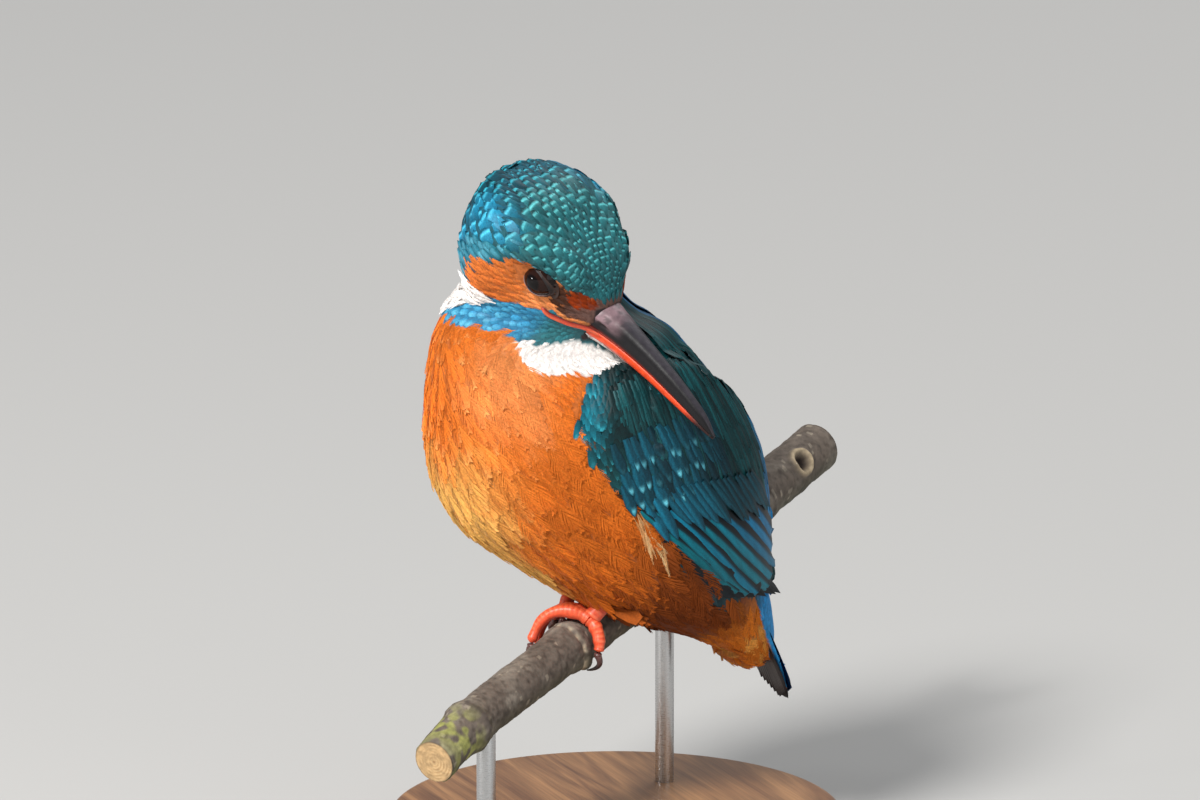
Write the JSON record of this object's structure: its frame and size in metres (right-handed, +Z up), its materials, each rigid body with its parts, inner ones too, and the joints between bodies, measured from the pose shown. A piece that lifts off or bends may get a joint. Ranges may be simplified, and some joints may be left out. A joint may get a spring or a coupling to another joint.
{
  "type": "common kingfisher model on a perch and stand",
  "caption": "Life-size still common kingfisher gripping a cut branch, held by rods on a round flat display base.",
  "frame": {"origin": "centre of the round base's underside, on the surface that the stand rests on", "axes": "+Z up, -Y the way the bird's breast faces, +X towards the bird's left"},
  "size_m": [0.1062, 0.1293, 0.1537],
  "materials": {
    "head_feathers": "dark teal feathers with bright turquoise bars",
    "neck_feathers": "white and orange feathers",
    "breast_feathers": "soft orange feathers",
    "tail_feathers": "blue feathers, satin",
    "wing_feathers": "blue-green feathers with bright spots, satin",
    "bill_black": "black horn, semi-gloss",
    "bill_red": "orange-red horn with a dark tip, semi-gloss",
    "eye": "dark brown, wet gloss",
    "foot_skin": "orange-red scaly skin",
    "claw": "dark brown horn",
    "bark": "grey-brown bark with lichen at its nodes",
    "stand_wood": "satin plain wood",
    "stand_steel": "brushed"
  },
  "bodies": {
    "root": {"head": "head_feathers", "neck": "neck_feathers", "trunk": "breast_feathers", "tail": "tail_feathers", "wing_left": "wing_feathers", "wing_right": "wing_feathers", "bill_upper": "bill_black", "bill_lower": "bill_red", "eye_left": "eye", "eye_right": "eye", "leg_left": "foot_skin", "leg_right": "foot_skin", "claw_left_1_hind": "claw", "claw_left_2_inner": "claw", "claw_left_3_middle": "claw", "claw_left_4_outer": "claw", "claw_right_1_hind": "claw", "claw_right_2_inner": "claw", "claw_right_3_middle": "claw", "claw_right_4_outer": "claw", "perch": "bark", "stand_base": "stand_wood", "stand_rod_front": "stand_steel", "stand_rod_back": "stand_steel"}
  },
  "joints": []
}
